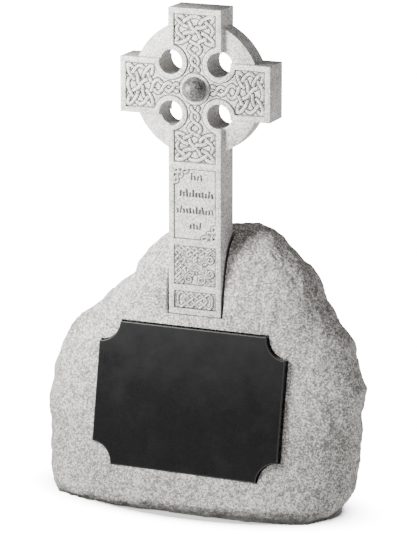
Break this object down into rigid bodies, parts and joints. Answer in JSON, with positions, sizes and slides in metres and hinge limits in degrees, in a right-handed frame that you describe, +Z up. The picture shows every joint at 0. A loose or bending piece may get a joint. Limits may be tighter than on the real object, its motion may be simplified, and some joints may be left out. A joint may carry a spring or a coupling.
{
  "type": "cross headstone",
  "caption": "Ringed granite cross with knotwork panels and a polished boss, standing in a rock-faced boulder base that carries a dark plaque, to mark a grave.",
  "frame": {"origin": "on the flat underside of the boulder, straight below the middle of the cross's width and thickness", "axes": "+Z up, -Y out of the carved front, +X to the right for someone facing the front"},
  "size_m": [0.8174, 0.314, 1.2205],
  "materials": {
    "boulder_granite": "rough split grey granite",
    "cross_granite": "fine honed and carved light grey granite",
    "boss_granite": "polished grey granite",
    "plaque_granite": "polished black granite"
  },
  "bodies": {
    "root": {"boulder_base": "boulder_granite", "celtic_cross": "cross_granite", "centre_boss": "boss_granite", "inscription_plaque": "plaque_granite"}
  },
  "joints": []
}
